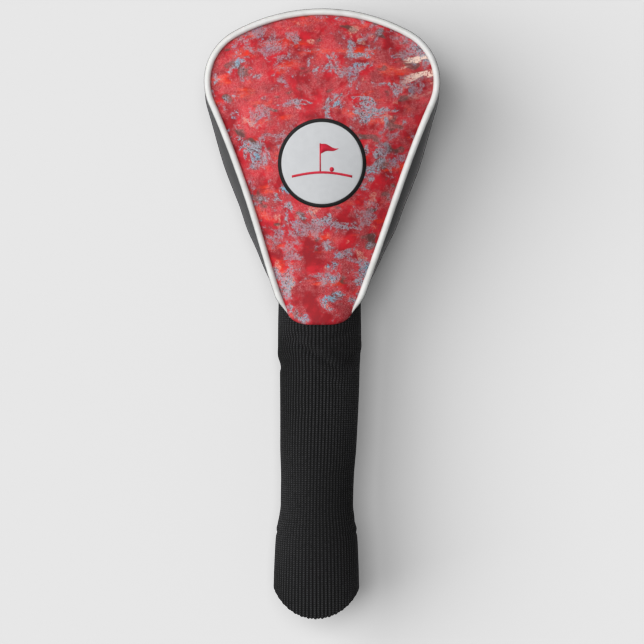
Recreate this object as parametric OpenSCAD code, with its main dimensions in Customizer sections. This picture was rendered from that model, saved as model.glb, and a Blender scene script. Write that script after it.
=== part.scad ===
// Padded golf driver head cover: a printed front panel, a black back panel and two woven side
// gussets, lined and padded, on a ribbed knitted sock that bends at the throat.
// Millimetres, +Z toward the closed end, the printed panel faces -Y. The origin is at the centre
// of the throat elastic.

/* [Head] */
// Height of the closed end above the throat elastic
head_height = 168.6; // [164:0.2:172]
// Half of the largest width, to the middle of the piping
head_half_width = 65.4; // [63:0.2:68]
// Radius of the closed end, seen from the front
top_radius = 102; // [96:1:110]
// Radius of the rounded shoulders
shoulder_radius = 30.5; // [27:0.5:32]
// Lean of the sides where they leave the shoulders, degrees
side_angle = 24; // [22:1:26]
// Half of the depth between the front and back seams
head_half_depth = 30; // [28:0.5:33]
// How far the front and back panels stand out from their seams
panel_crown = 14; // [11:0.5:16]
// How far the gussets stand out along the sides
side_bulge = 9; // [7.5:0.5:9.5]
// How far the gussets stand out over the closed end
top_bulge = 3.2; // [2.5:0.1:4]

/* [Cloth] */
// Thickness of the outer cloth
cloth = 1.2; // [0.9:0.1:1.3]
// Thickness of the foam padding
foam = 3; // [2:0.5:3.5]
// Thickness of the plush lining
plush = 1.2; // [0.8:0.1:1.5]
// Radius of the piping on the front seam
piping_radius = 1.7; // [1.4:0.1:2]
// Thickness of the white sleeve round the piping's cord
sleeve_thickness = 0.4; // [0.3:0.1:0.6]
// Radius of the sewing thread
thread_radius = 0.25; // [0.2:0.05:0.3]

/* [Badge] */
// Outer radius of the round badge
badge_radius = 25; // [20:0.5:26]
// Width of the badge's black ring
badge_ring_width = 2.1; // [1.5:0.1:3]
// Height of the badge's centre above the throat elastic
badge_height = 82; // [78:1:90]

/* [Throat] */
// Outer radius of the head where it meets the sock
neck_radius = 25.8; // [25.7:0.1:26.2]
// Inner radius of the throat elastic
elastic_radius = 18.5; // [18:0.1:18.6]
// Height of the throat elastic
elastic_height = 12; // [10:0.5:13]
// Outer radius of the knitted tube in the throat
throat_radius = 23.7; // [23.5:0.1:23.7]

/* [Sock] */
// Length of the sock below the throat elastic
sock_length = 176; // [170:1:185]
// Outer radius of the sock where the flexible throat ends
sock_top_radius = 22.6; // [22.4:0.1:23]
// Outer radius of the narrowest part of the sock
sock_waist_radius = 20.8; // [20.7:0.1:21]
// Outer radius of the sock at its mouth
sock_mouth_radius = 24.4; // [24:0.1:25]
// Thickness of the rib knit
knit = 1.4; // [1.2:0.1:1.4]
// Height of the turned-up hem inside the mouth
hem_height = 44; // [40:1:46]
// Radius of the curve that rounds off the mouth's sides
mouth_curve = 27.6; // [26:0.1:30]

/* [Hidden] */
$fn = 96;
gap = 0.1;

// Rows down the seam from the middle of the closed end to the neck, and columns across a panel.
top_rows = 5;
shoulder_rows = 6;
side_rows = 11;
rows = top_rows + shoulder_rows + side_rows;
panel_columns = 12;
gusset_columns = 8;
// The padding and lining stop here, above the knitted tube.
padded_rows = rows - 3;

// Depths of the layers below the outer surface.
foam_depth = cloth + gap;
plush_depth = foam_depth + foam + gap;
piping_lift = piping_radius + gap;

// The outline of the front seam, to the middle of the piping.
top_center = [0, head_height - top_radius];
shoulder_center = [
    head_half_width - shoulder_radius,
    top_center.y + sqrt(pow(top_radius - shoulder_radius, 2) - pow(head_half_width - shoulder_radius, 2))
];
top_end_angle = atan2(shoulder_center.y - top_center.y, shoulder_center.x);
corner = [18.6, -6];
corner_radius = neck_radius + piping_lift;
corner_half_depth = sqrt(pow(corner_radius, 2) - pow(corner.x, 2));
// How far the side's curve keeps its lean below the shoulder, and above the corner at the neck.
shoulder_reach = 52;
corner_reach = 28;
side_start = shoulder_center + shoulder_radius * [cos(side_angle), -sin(side_angle)];
side_guides = [
    side_start,
    side_start - shoulder_reach * [sin(side_angle), cos(side_angle)],
    corner + corner_reach * [sin(side_angle), cos(side_angle)],
    corner
];

// How far the gusset's lower edge rises, and the panel's drops, in the middle.
gusset_rise = 17;
panel_drop = 2.5;
// The panel's slope at its seams, at the neck and at the top, degrees.
neck_edge_angle = 40;
top_edge_angle = 22;

elastic_thickness = 1.2;
elastic_outer_radius = elastic_radius + elastic_thickness;

// The sock's zones, as heights.
throat_top = 9;
bend_height = -24;
sock_top = -38;
waist_top = -100;
waist_end = -117;
hem_top = hem_height - sock_length;
hem_radius = 20.8;
hem_knit = 1.3;
// The channel round the hem that holds its elastic.
channel_top = hem_top - 18;
channel_height = 6;
channel_radius = hem_radius + 0.7;
hem_elastic_thickness = 0.5;

function mix(a, b, t) = a + (b - a) * t;
function ease(t) = let (c = min(1, max(0, t))) c * c * (3 - 2 * c);
function ramp(z, low, high) = ease((z - low) / (high - low));

// A row of the outline: its place in XZ and its outward normal.
function arc_row(center, radius, angle) = let (n = [cos(angle), sin(angle)]) [center + radius * n, n];
function bezier(p, t) =
    pow(1 - t, 3) * p[0] + 3 * t * pow(1 - t, 2) * p[1] + 3 * t * t * (1 - t) * p[2] + pow(t, 3) * p[3];
function bezier_slope(p, t) =
    pow(1 - t, 2) * (p[1] - p[0]) + 2 * t * (1 - t) * (p[2] - p[1]) + t * t * (p[3] - p[2]);
function side_row(t) =
    let (slope = bezier_slope(side_guides, t), along = slope / norm(slope))
    [bezier(side_guides, t), [-along.y, along.x]];
function outline_row(i) =
    i <= top_rows ? arc_row(top_center, top_radius, mix(90, top_end_angle, i / top_rows))
    : i <= top_rows + shoulder_rows
        ? arc_row(shoulder_center, shoulder_radius,
            mix(top_end_angle, -side_angle, (i - top_rows) / shoulder_rows))
    : side_row((i - top_rows - shoulder_rows) / side_rows);
outline = [for (i = [0 : rows]) outline_row(i)];

// How the cross-section changes with height.
function half_depth(z) = mix(corner_half_depth, head_half_depth + piping_lift, ramp(z, corner.y, 120));
function crown(z) =
    mix(neck_radius - corner_half_depth + piping_lift, panel_crown, ramp(z, corner.y, 100))
    * sin(90 * min(1, (head_height - z) / 60));
function bulge(z) =
    mix(mix(corner_radius - corner.x, side_bulge, ramp(z, corner.y, 40)), top_bulge, ramp(z, 80, 135));
function rise(z) = gusset_rise * (1 - ramp(z, corner.y, 60));
function drop(z) = panel_drop * (1 - ramp(z, corner.y, 8));

// How fast the seam moves inward, along the outline's normal and along Y, as the layers go deeper.
function miter(z) =
    let (
        panel_edge = mix(neck_edge_angle, top_edge_angle, ramp(z, corner.y, 60)),
        gusset_edge = atan(2 * bulge(z) / half_depth(z))
    )
    [sin(panel_edge) + cos(gusset_edge), cos(panel_edge) + sin(gusset_edge)]
    / (1 + sin(panel_edge + gusset_edge));

// The seam's point on a row, at a depth below the outer surface.
function seam(i, depth) =
    let (p = outline[i][0], n = outline[i][1], m = (depth + piping_lift) * miter(p.y))
    [p.x - m.x * n.x, m.y - half_depth(p.y), p.y - m.x * n.y];

// Points of the front panel, u from -1 to 1 between its seams, and of the right gusset, v likewise.
function panel_crown_at(z, depth) = crown(z) * (1 - (depth + piping_lift) * (1 - miter(z).y) / panel_crown);
function panel_point(i, u, depth) =
    let (p = seam(i, depth), z = outline[i][0].y)
    [u * p.x, p.y - panel_crown_at(z, depth) * (1 - u * u), p.z - drop(z) * (1 - pow(u, 4))];
function gusset_point(i, v, depth) =
    let (
        p = seam(i, depth),
        z = outline[i][0].y,
        n = outline[i][1],
        out = (bulge(z) - (depth + piping_lift) * (1 - miter(z).x)) * (1 - v * v)
    )
    [max(gap, p.x + out * n.x), -v * p.y, p.z + out * n.y + rise(z) * (1 - v * v)];

// Grids of points, inset a little at both seams so that neighbouring pieces stay apart.
function panel_grid(depth, last_row) = [
    for (i = [1 : last_row]) [
        for (j = [0 : panel_columns])
            panel_point(i, (1 - 2 * j / panel_columns) * (1 - gap / outline[i][0].x), depth)
    ]
];
function gusset_grid(depth, last_row) = [
    for (i = [0 : last_row]) [
        for (j = [0 : gusset_columns])
            gusset_point(i, (1 - 2 * j / gusset_columns) * (1 - 2 * gap / half_depth(outline[i][0].y)), depth)
    ]
];

// A solid between two grids of the same size.
function flat(list) = [for (a = list) for (b = a) b];
module slab(outer, inner) {
    m = len(outer);
    n = len(outer[0]);
    back = m * n;
    quads = flat([
        for (i = [0 : m - 2]) flat([
            for (j = [0 : n - 2])
                let (a = i * n + j, b = a + 1, c = a + n, d = c + 1)
                [[a, b, d], [a, d, c], [back + a, back + d, back + b], [back + a, back + c, back + d]]
        ])
    ]);
    rim = concat([for (j = [0 : n - 1]) j], [for (i = [1 : m - 1]) i * n + n - 1],
        [for (j = [n - 2 : -1 : 0]) (m - 1) * n + j], [for (i = [m - 2 : -1 : 1]) i * n]);
    edge = flat([
        for (k = [0 : len(rim) - 1])
            let (a = rim[k], b = rim[(k + 1) % len(rim)])
            [[a, back + a, back + b], [a, back + b, b]]
    ]);
    polyhedron(points = concat(flat(outer), flat(inner)), faces = concat(quads, edge), convexity = 8);
}

// A tube of small sections along the whole seam, left corner to right corner.
seam_rows = concat([for (i = [rows : -1 : 0]) [i, -1]], [for (i = [1 : rows]) [i, 1]]);
function seam_ring(row, depth, radius, sides) =
    let (p = seam(row[0], depth), n = outline[row[0]][1])
    [
        for (k = [0 : sides - 1])
            let (a = 360 * k / sides)
            [row[1] * (p.x + radius * cos(a) * n.x), p.y + radius * sin(a), p.z + radius * cos(a) * n.y]
    ];

// The faces between the rings of a tube. start is the number of its first point.
function walls(count, sides, start) = flat([
    for (i = [0 : count - 2]) flat([
        for (k = [0 : sides - 1])
            let (a = start + i * sides + k, b = start + i * sides + (k + 1) % sides)
            [[a, b, b + sides], [a, b + sides, a + sides]]
    ])
]);
module seam_cord(depth, radius, sides) {
    rings = [for (row = seam_rows) seam_ring(row, depth, radius, sides)];
    last = (len(rings) - 1) * sides;
    ends = [[for (k = [sides - 1 : -1 : 0]) k], [for (k = [0 : sides - 1]) last + k]];
    polyhedron(points = flat(rings), faces = concat(walls(len(rings), sides, 0), ends), convexity = 8);
}

module seam_sleeve(depth, outer, inner, sides) {
    rings = concat(
        [for (row = seam_rows) seam_ring(row, depth, outer, sides)],
        [for (row = seam_rows) seam_ring(row, depth, inner, sides)]
    );
    count = len(seam_rows);
    bore = count * sides;
    last = (count - 1) * sides;
    ends = flat([
        for (k = [0 : sides - 1])
            let (a = k, b = (k + 1) % sides, c = last + a, d = last + b)
            [[a, bore + a, bore + b], [a, bore + b, b], [c, bore + d, bore + c], [c, d, bore + d]]
    ]);
    inside = [for (f = walls(count, sides, bore)) [f[0], f[2], f[1]]];
    polyhedron(points = flat(rings), faces = concat(walls(count, sides, 0), inside, ends), convexity = 8);
}

// One layer of a panel or of the right gusset.
module panel_layer(depth, thickness, last_row) {
    slab(panel_grid(depth, last_row), panel_grid(depth + thickness, last_row));
}

module gusset_layer(depth, thickness, last_row) {
    slab(gusset_grid(depth, last_row), gusset_grid(depth + thickness, last_row));
}

module front_panel() {
    color("crimson") panel_layer(0, cloth, rows);
}

module back_panel() {
    color([0.09, 0.09, 0.1]) mirror([0, 1, 0]) panel_layer(0, cloth, rows);
}

module right_gusset() {
    color([0.13, 0.13, 0.14]) gusset_layer(0, cloth, rows);
}

module left_gusset() {
    color([0.13, 0.13, 0.14]) mirror([1, 0, 0]) gusset_layer(0, cloth, rows);
}

module front_padding() {
    color("khaki") panel_layer(foam_depth, foam, padded_rows);
}

module back_padding() {
    color("khaki") mirror([0, 1, 0]) panel_layer(foam_depth, foam, padded_rows);
}

module right_padding() {
    color("khaki") gusset_layer(foam_depth, foam, padded_rows);
}

module left_padding() {
    color("khaki") mirror([1, 0, 0]) gusset_layer(foam_depth, foam, padded_rows);
}

module front_lining() {
    color("dimgray") panel_layer(plush_depth, plush, padded_rows);
}

module back_lining() {
    color("dimgray") mirror([0, 1, 0]) panel_layer(plush_depth, plush, padded_rows);
}

module right_lining() {
    color("dimgray") gusset_layer(plush_depth, plush, padded_rows);
}

module left_lining() {
    color("dimgray") mirror([1, 0, 0]) gusset_layer(plush_depth, plush, padded_rows);
}

module piping_cord() {
    color("ivory") seam_cord(-piping_lift, piping_radius - sleeve_thickness - gap / 2, 8);
}

module piping_sleeve() {
    color("white") seam_sleeve(-piping_lift, piping_radius, piping_radius - sleeve_thickness, 8);
}

module front_seam_thread() {
    color("black") seam_cord(cloth / 2, thread_radius, 6);
}

module back_seam_thread() {
    color("black") mirror([0, 1, 0]) seam_cord(cloth / 2, thread_radius, 6);
}

// The badge follows the front panel between two radii, at a small height above it.
badge_outline = [for (i = [rows : -1 : 1]) [outline[i][0].y, i]];
function badge_point(radius, angle, lift) =
    let (
        x = radius * cos(angle),
        z = badge_height + radius * sin(angle),
        row = lookup(z, badge_outline),
        i = floor(row),
        a = seam(i, -lift),
        b = seam(i + 1, -lift),
        width = mix(a.x, b.x, row - i),
        u = x / width
    )
    [x, mix(a.y, b.y, row - i) - panel_crown_at(z, -lift) * (1 - u * u), z];

module badge_disc() {
    sides = 36;
    steps = 4;
    disc_radius = badge_radius - badge_ring_width - gap;
    rings = [
        for (lift = [0.5, 0.2]) [
            for (i = [1 : steps]) for (k = [0 : sides - 1])
                badge_point(disc_radius * i / steps, 360 * k / sides, lift)
        ]
    ];
    back = steps * sides + 1;
    points = concat([badge_point(0, 0, 0.5)], rings[0], [badge_point(0, 0, 0.2)], rings[1]);
    fan = [for (k = [0 : sides - 1]) let (n = (k + 1) % sides) [0, 1 + n, 1 + k]];
    bands = flat([
        for (i = [0 : steps - 2]) flat([
            for (k = [0 : sides - 1])
                let (a = 1 + i * sides + k, b = 1 + i * sides + (k + 1) % sides)
                [[a, b, b + sides], [a, b + sides, a + sides]]
        ])
    ]);
    front = concat(fan, bands);
    rear = [for (f = front) [back + f[0], back + f[2], back + f[1]]];
    start = 1 + (steps - 1) * sides;
    rim = flat([
        for (k = [0 : sides - 1])
            let (a = start + k, b = start + (k + 1) % sides)
            [[a, b, back + b], [a, back + b, back + a]]
    ]);
    color("gainsboro") polyhedron(points = points, faces = concat(front, rear, rim), convexity = 4);
}

module badge_ring() {
    sides = 36;
    corners = [[badge_radius, 0.5], [badge_radius - badge_ring_width, 0.5],
        [badge_radius - badge_ring_width, 0.2], [badge_radius, 0.2]];
    points = [for (k = [0 : sides - 1]) for (c = corners) badge_point(c[0], 360 * k / sides, c[1])];
    faces = flat([
        for (k = [0 : sides - 1]) flat([
            for (j = [0 : 3])
                let (a = 4 * k + j, b = 4 * k + (j + 1) % 4, c = 4 * ((k + 1) % sides))
                [[a, b, c + (j + 1) % 4], [a, c + (j + 1) % 4, c + j]]
        ])
    ]);
    color("black") polyhedron(points = points, faces = faces, convexity = 4);
}

module ring(inner, outer, low, high) {
    translate([0, 0, low])
        difference() {
            cylinder(r = outer, h = high - low);
            translate([0, 0, -1]) cylinder(r = inner, h = high - low + 2);
        }
}

module throat_elastic() {
    color("whitesmoke") ring(elastic_radius, elastic_outer_radius, -elastic_height / 2, elastic_height / 2);
}

module neck_binding() {
    reach = elastic_height / 2 + 1;
    color([0.1, 0.1, 0.1]) ring(elastic_outer_radius + gap, throat_radius - knit - gap, -reach, reach);
}

module elastic_thread() {
    color("black") rotate_extrude() translate([elastic_outer_radius + gap / 2, 0]) circle(thread_radius);
}

// The knitted tube between the head and the bend, which stretches and folds as the sock bends.
module knit_throat() {
    color([0.07, 0.07, 0.08]) rotate_extrude() polygon([
        [throat_radius, throat_top],
        [throat_radius, bend_height],
        [sock_top_radius, sock_top + gap],
        [sock_top_radius - knit, sock_top + gap],
        [throat_radius - knit, bend_height],
        [throat_radius - knit, throat_top]
    ]);
}

// Everything above the curved edge of the mouth.
module above_mouth() {
    rotate([90, 0, 0])
        linear_extrude(4 * sock_mouth_radius, center = true) {
            translate([0, mouth_curve - sock_length]) circle(mouth_curve);
            translate([-2 * sock_mouth_radius, mouth_curve - sock_length])
                square([4 * sock_mouth_radius, sock_length]);
        }
}

module knit_sock() {
    color([0.07, 0.07, 0.08]) intersection() {
        rotate_extrude() polygon([
            [sock_top_radius, sock_top],
            [mix(sock_top_radius, sock_waist_radius, 0.4), waist_top + 15],
            [sock_waist_radius, waist_top],
            [sock_waist_radius, waist_end],
            [mix(sock_waist_radius, sock_mouth_radius, 0.55), waist_end - 10],
            [mix(sock_waist_radius, sock_mouth_radius, 0.88), waist_end - 27],
            [sock_mouth_radius, -sock_length],
            [hem_radius + hem_knit + gap, -sock_length],
            [hem_radius + hem_knit + gap, hem_top + gap],
            [hem_radius, hem_top + gap],
            [sock_waist_radius - knit, waist_end],
            [sock_waist_radius - knit, waist_top],
            [mix(sock_top_radius, sock_waist_radius, 0.4) - knit, waist_top + 15],
            [sock_top_radius - knit, sock_top]
        ]);
        above_mouth();
    }
}

// The sock's end turned up inside, with a shallow channel for its elastic.
module knit_hem() {
    color([0.09, 0.09, 0.1]) intersection() {
        difference() {
            ring(hem_radius, hem_radius + hem_knit, -sock_length, hem_top);
            ring(channel_radius, hem_radius + 2 * hem_knit, channel_top - channel_height, channel_top);
        }
        above_mouth();
    }
}

module hem_elastic() {
    inner = channel_radius + gap / 2;
    color("whitesmoke")
        ring(inner, inner + hem_elastic_thickness, channel_top - channel_height + gap, channel_top - gap);
}

module hem_thread() {
    color("black")
        rotate_extrude() translate([hem_radius + hem_knit + gap / 2, hem_top - 3]) circle(thread_radius);
}

front_panel();
back_panel();
left_gusset();
right_gusset();
front_padding();
back_padding();
left_padding();
right_padding();
front_lining();
back_lining();
left_lining();
right_lining();
piping_sleeve();
piping_cord();
front_seam_thread();
back_seam_thread();
badge_disc();
badge_ring();
throat_elastic();
neck_binding();
elastic_thread();
knit_throat();
knit_sock();
knit_hem();
hem_elastic();
hem_thread();
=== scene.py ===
"""The looks of the padded driver head cover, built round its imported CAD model."""

import math

import bmesh
import bpy
import numpy as np
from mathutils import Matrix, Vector
from mathutils.bvhtree import BVHTree
from mathutils.kdtree import KDTree


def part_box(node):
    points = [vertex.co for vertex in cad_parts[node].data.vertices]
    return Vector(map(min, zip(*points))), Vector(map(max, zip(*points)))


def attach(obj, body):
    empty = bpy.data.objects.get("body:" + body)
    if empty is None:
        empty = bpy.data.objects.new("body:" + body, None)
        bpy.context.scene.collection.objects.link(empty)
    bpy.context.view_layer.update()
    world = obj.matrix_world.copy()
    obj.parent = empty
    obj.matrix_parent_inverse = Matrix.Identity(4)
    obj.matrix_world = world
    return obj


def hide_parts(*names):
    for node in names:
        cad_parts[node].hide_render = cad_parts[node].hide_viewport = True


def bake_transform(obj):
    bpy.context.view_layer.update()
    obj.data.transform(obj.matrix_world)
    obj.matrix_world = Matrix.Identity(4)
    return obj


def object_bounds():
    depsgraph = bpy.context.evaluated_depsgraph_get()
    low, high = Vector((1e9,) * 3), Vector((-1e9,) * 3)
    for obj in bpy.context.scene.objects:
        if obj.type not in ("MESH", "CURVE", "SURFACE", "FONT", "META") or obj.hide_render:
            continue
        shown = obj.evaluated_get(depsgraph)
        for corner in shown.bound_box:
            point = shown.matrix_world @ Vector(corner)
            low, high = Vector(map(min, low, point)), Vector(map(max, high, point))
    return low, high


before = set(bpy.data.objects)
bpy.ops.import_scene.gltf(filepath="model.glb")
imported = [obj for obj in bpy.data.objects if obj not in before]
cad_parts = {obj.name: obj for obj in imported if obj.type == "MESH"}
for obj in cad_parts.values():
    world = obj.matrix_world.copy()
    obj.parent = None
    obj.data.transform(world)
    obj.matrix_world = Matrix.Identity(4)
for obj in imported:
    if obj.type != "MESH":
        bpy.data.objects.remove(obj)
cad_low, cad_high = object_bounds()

MM = 0.001
# One unit of the "cloth" coordinates, in millimetres. Across the knit it is one rib.
CLOTH_UNIT = 10

# The head's outline and section, in millimetres. They follow the CAD model's closely.
PIPING_RADIUS = 1.7
HEAD_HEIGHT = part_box("piping_sleeve")[1].z / MM - PIPING_RADIUS
HEAD_HALF_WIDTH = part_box("piping_sleeve")[1].x / MM - PIPING_RADIUS
TOP_RADIUS = 102.0
SHOULDER_RADIUS = 30.5
SIDE_ANGLE = math.radians(24)
HEAD_HALF_DEPTH = 30.0
PANEL_CROWN = 14.0
SIDE_BULGE = 8.2
TOP_BULGE = 3.2
PANEL_DROP = 4.0
GUSSET_RISE = 17.0
NECK_RADIUS = 25.8
CORNER = np.array([18.6, -6.0])
PIPING_LIFT = PIPING_RADIUS + 0.1
CORNER_RADIUS = NECK_RADIUS + PIPING_LIFT
CORNER_HALF_DEPTH = math.sqrt(CORNER_RADIUS**2 - CORNER[0] ** 2)
# How steeply the panel leaves its seam at the neck and higher up, in degrees.
NECK_EDGE_ANGLE = 40.0
TOP_EDGE_ANGLE = 22.0
# How far the side's curve keeps its slope below the shoulder, and above the corner at the neck.
SHOULDER_REACH = 52.0
CORNER_REACH = 28.0
# How far to the left the neck hangs, and how much farther the sock's end does.
NECK_LEAN = 1.4
SOCK_LEAN = 1.7
# The piping looks this much thicker than its CAD solid.
PIPING_SWELL = 1.07

# The layers of the head: how thick they are, and how deep the outer side of each one lies.
CLOTH = 1.2
FOAM_DEPTH = 1.35
FOAM = 2.9
PLUSH_DEPTH = 4.4
PLUSH = 1.1

# The sock.
RIBS = 70
RIB_SAMPLES = 8
RIB_HEIGHT = 0.7
KNIT = 1.3
THROAT_TOP = 9.0
BEND_HEIGHT = -24.0
HEM_LINE = -122.0
HEM_SEAM = -130.0
HEM_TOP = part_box("knit_hem")[1].z / MM
SOCK_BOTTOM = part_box("knit_sock")[0].z / MM
HEM_RADIUS = 20.8
MOUTH_CURVE = 27.6
MOUTH_DROP = 2.2
# Heights and radii down the sock.
SOCK_SHAPE = [
    (10, 23.4), (-10, 23.7), (-22, 23.8), (-29, 23.1), (-36, 22.5), (-60, 22.2), (-82, 21.9),
    (-97, 21.0), (-117, 20.7), (-124, 22.2), (-134, 23.3), (-150, 23.9), (-165, 24.3), (-177, 24.3),
]

BADGE_HEIGHT = 82.0
BADGE_RADIUS = 25.0
BADGE_RING_WIDTH = 2.1

# The floor lies this far behind the cover, and has close rows between these heights.
FLOOR_GAP = 1.8
FLOOR_BEND = (-14.0, -110.0)


# ---- The head's surfaces ----

def ease(t):
    c = np.clip(t, 0, 1)
    return c * c * (3 - 2 * c)


def ramp(z, low, high):
    return ease((z - low) / (high - low))


def mix(a, b, t):
    return a + (b - a) * t


def directions(path):
    """The unit direction along a path, at each of its points."""
    ahead = np.gradient(path, axis=0)
    return ahead / np.linalg.norm(ahead, axis=1)[:, None]


def trace_outline(samples=240):
    """The front seam's right half, from the middle of the closed end to the neck.

    Gives its places, its normals and its length up to each place.
    """
    top_center = np.array([0, HEAD_HEIGHT - TOP_RADIUS])
    across = HEAD_HALF_WIDTH - SHOULDER_RADIUS
    up = math.sqrt((TOP_RADIUS - SHOULDER_RADIUS) ** 2 - across**2)
    shoulder_center = top_center + [across, up]
    meeting = math.atan2(up, across)
    top = np.linspace(math.pi / 2, meeting, samples)[:-1]
    shoulder = np.linspace(meeting, -SIDE_ANGLE, samples)[:-1]
    side = np.linspace(0, 1, samples)[:, None]
    up_side = np.array([math.sin(SIDE_ANGLE), math.cos(SIDE_ANGLE)])
    start = shoulder_center + SHOULDER_RADIUS * np.array([math.cos(SIDE_ANGLE), -math.sin(SIDE_ANGLE)])
    guides = [start, start - SHOULDER_REACH * up_side, CORNER + CORNER_REACH * up_side, CORNER]
    curve = sum(math.comb(3, k) * side**k * (1 - side) ** (3 - k) * guides[k] for k in range(4))
    slope = directions(curve)
    places, normals = [], []
    for center, radius, angles in (
        (top_center, TOP_RADIUS, top),
        (shoulder_center, SHOULDER_RADIUS, shoulder),
    ):
        n = np.stack([np.cos(angles), np.sin(angles)], 1)
        places.append(center + radius * n)
        normals.append(n)
    places.append(curve)
    normals.append(np.stack([-slope[:, 1], slope[:, 0]], 1))
    places, normals = np.concatenate(places), np.concatenate(normals)
    length = np.concatenate([[0], np.cumsum(np.linalg.norm(np.diff(places, axis=0), axis=1))])
    return places, normals, length


OUTLINE, OUTLINE_NORMALS, OUTLINE_LENGTH = trace_outline()
SEAM_LENGTH = OUTLINE_LENGTH[-1]


def outline_at(along):
    place = [np.interp(along, OUTLINE_LENGTH, OUTLINE[:, k]) for k in (0, 1)]
    normal = [np.interp(along, OUTLINE_LENGTH, OUTLINE_NORMALS[:, k]) for k in (0, 1)]
    return place[0], place[1], normal[0], normal[1]


def lean(z):
    """How far to the left of the head's middle the cover hangs."""
    return -NECK_LEAN * (1 - ramp(z, CORNER[1], 70)) - SOCK_LEAN * ramp(-z, 30, 125)


def leaned(points):
    return points + lean(points[..., 2:]) * [1, 0, 0]


def half_depth(z):
    return mix(CORNER_HALF_DEPTH, HEAD_HALF_DEPTH + PIPING_LIFT, ramp(z, CORNER[1], 120))


def crown(z):
    neck_crown = NECK_RADIUS - CORNER_HALF_DEPTH + PIPING_LIFT
    return mix(neck_crown, PANEL_CROWN, ramp(z, CORNER[1], 100)) * np.sin(
        math.pi / 2 * np.minimum(1, (HEAD_HEIGHT - z) / 60)
    )


def bulge(z):
    side = mix(CORNER_RADIUS - CORNER[0], SIDE_BULGE, ramp(z, CORNER[1], 40))
    return mix(side, TOP_BULGE, ramp(z, 80, 135))


def miter(z):
    """How fast the seam moves inward along the outline's normal, and along Y, as the layers go deeper."""
    panel_edge = np.radians(mix(NECK_EDGE_ANGLE, TOP_EDGE_ANGLE, ramp(z, CORNER[1], 60)))
    gusset_edge = np.arctan(2 * bulge(z) / half_depth(z))
    share = 1 + np.sin(panel_edge + gusset_edge)
    return (
        (np.sin(panel_edge) + np.cos(gusset_edge)) / share,
        (np.cos(panel_edge) + np.sin(gusset_edge)) / share,
    )


def seam_at(along, depth):
    x, z, nx, nz = outline_at(along)
    mx, my = miter(z)
    d = depth + PIPING_LIFT
    return x - d * mx * nx, d * my - half_depth(z), z - d * mx * nz


def panel_at(along, across, depth):
    """A point of the front panel. across runs from -1 at the left seam to 1 at the right one."""
    x, y, z = seam_at(along, depth)
    outline_z = outline_at(along)[1]
    stand = crown(outline_z) * (1 - (depth + PIPING_LIFT) * (1 - miter(outline_z)[1]) / PANEL_CROWN)
    drop = PANEL_DROP * (1 - ramp(outline_z, CORNER[1], 8))
    return np.stack(
        np.broadcast_arrays(across * x, y - stand * (1 - across**2), z - drop * (1 - across**4)), -1
    )


def gusset_at(along, across, depth):
    """A point of the right gusset. across runs from -1 at the front seam to 1 at the back one."""
    x, y, z = seam_at(along, depth)
    _, outline_z, nx, nz = outline_at(along)
    arch = 1 - across**2
    out = (bulge(outline_z) - (depth + PIPING_LIFT) * (1 - miter(outline_z)[0])) * arch
    rise = GUSSET_RISE * (1 - ramp(outline_z, CORNER[1], 60)) * arch
    return np.stack(
        np.broadcast_arrays(np.maximum(0.05, x + out * nx), -across * y, z + out * nz + rise), -1
    )


# ---- Meshes ----

def make_object(name, points, faces, uv=None):
    """A smooth mesh object from millimetre points, with its faces turned outward."""
    mesh = bpy.data.meshes.new(name)
    mesh.from_pydata((np.asarray(points, float) * MM).tolist(), [], [list(map(int, f)) for f in faces])
    if uv is not None:
        layer = mesh.uv_layers.new(name="cloth")
        corner = np.empty(len(mesh.loops), np.int32)
        mesh.loops.foreach_get("vertex_index", corner)
        layer.data.foreach_set("uv", np.asarray(uv, np.float32)[corner].ravel())
    edit = bmesh.new()
    edit.from_mesh(mesh)
    bmesh.ops.recalc_face_normals(edit, faces=edit.faces)
    edit.to_mesh(mesh)
    edit.free()
    mesh.polygons.foreach_set("use_smooth", [True] * len(mesh.polygons))
    obj = bpy.data.objects.new(name, mesh)
    bpy.context.scene.collection.objects.link(obj)
    return obj


def grid_faces(rows, columns, start=0, wrap=False):
    faces = []
    for i in range(rows - 1):
        for j in range(columns if wrap else columns - 1):
            a, b = start + i * columns + j, start + i * columns + (j + 1) % columns
            faces.append((a, b, b + columns, a + columns))
    return faces


def sheet_object(name, outer, inner, uv):
    """A closed sheet between two grids, with a rounded edge all round."""
    rows, columns = outer.shape[:2]
    count = rows * columns
    rim = (
        [(0, j) for j in range(columns)]
        + [(i, columns - 1) for i in range(1, rows)]
        + [(rows - 1, j) for j in range(columns - 2, -1, -1)]
        + [(i, 0) for i in range(rows - 2, 0, -1)]
    )
    edge = []
    for i, j in rim:
        inside = outer[min(max(i, 1), rows - 2), min(max(j, 1), columns - 2)]
        away = outer[i, j] - inside
        thickness = np.linalg.norm(outer[i, j] - inner[i, j])
        edge.append((outer[i, j] + inner[i, j]) / 2 + away / np.linalg.norm(away) * thickness * 0.4)
    points = np.concatenate([outer.reshape(-1, 3), inner.reshape(-1, 3), edge])
    faces = grid_faces(rows, columns) + grid_faces(rows, columns, count)
    for k, (i, j) in enumerate(rim):
        m, n = rim[(k + 1) % len(rim)]
        a, b = i * columns + j, m * columns + n
        c, d = 2 * count + k, 2 * count + (k + 1) % len(rim)
        faces += [(a, b, d, c), (c, d, count + b, count + a)]
    flat_uv = uv.reshape(-1, 2)
    rim_uv = [uv[i, j] for i, j in rim]
    return make_object(name, points, faces, np.concatenate([flat_uv, flat_uv, rim_uv]))


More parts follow.
